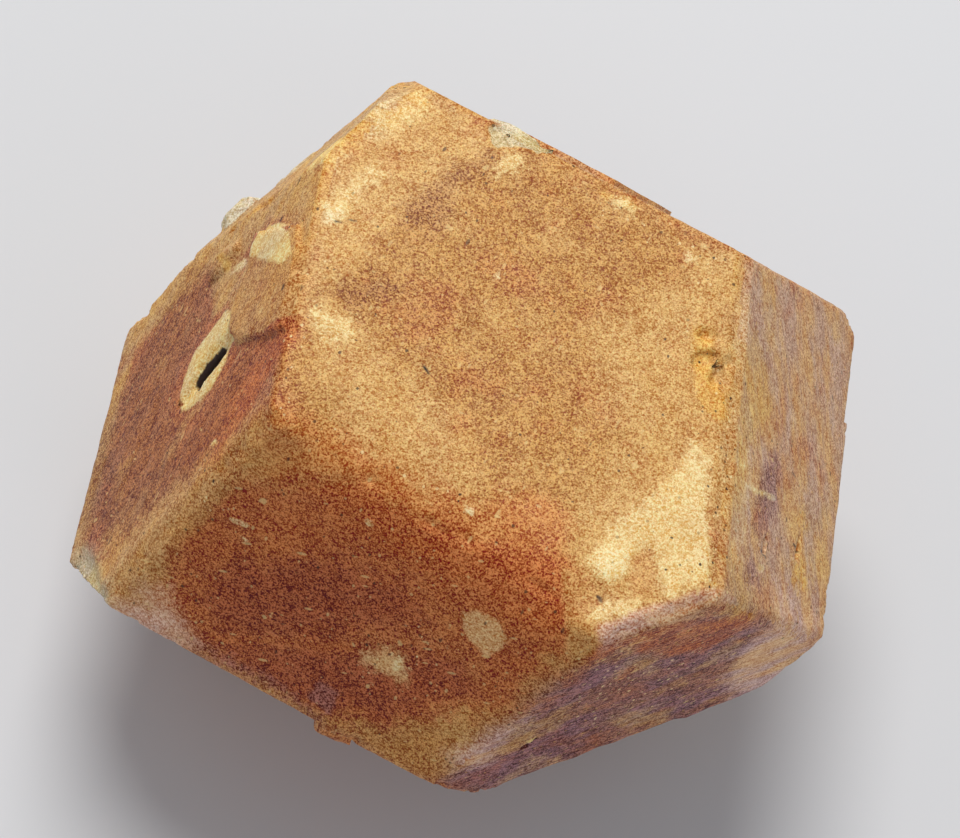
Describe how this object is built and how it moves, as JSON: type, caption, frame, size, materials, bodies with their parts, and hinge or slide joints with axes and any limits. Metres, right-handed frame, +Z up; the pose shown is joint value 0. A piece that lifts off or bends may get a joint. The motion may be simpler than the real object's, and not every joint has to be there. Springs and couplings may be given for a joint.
{
  "type": "grossular garnet crystal",
  "caption": "Loose pink-brown grossular garnet crystal, a rhombic dodecahedron with narrow edge faces, growth layers and a rough scar on one corner, resting on a large flat face.",
  "frame": {"origin": "on the surface that the crystal rests on, under the middle of its outline seen from above", "axes": "+Z up, out of the large flat face on top; +X along the longest side of its outline; +Y away from the side that is seen first"},
  "size_m": [0.0576, 0.0546, 0.0426],
  "materials": {
    "grossular": "waxy, pink-brown, mottled"
  },
  "bodies": {
    "root": {"grossular_crystal": "grossular"}
  },
  "joints": []
}
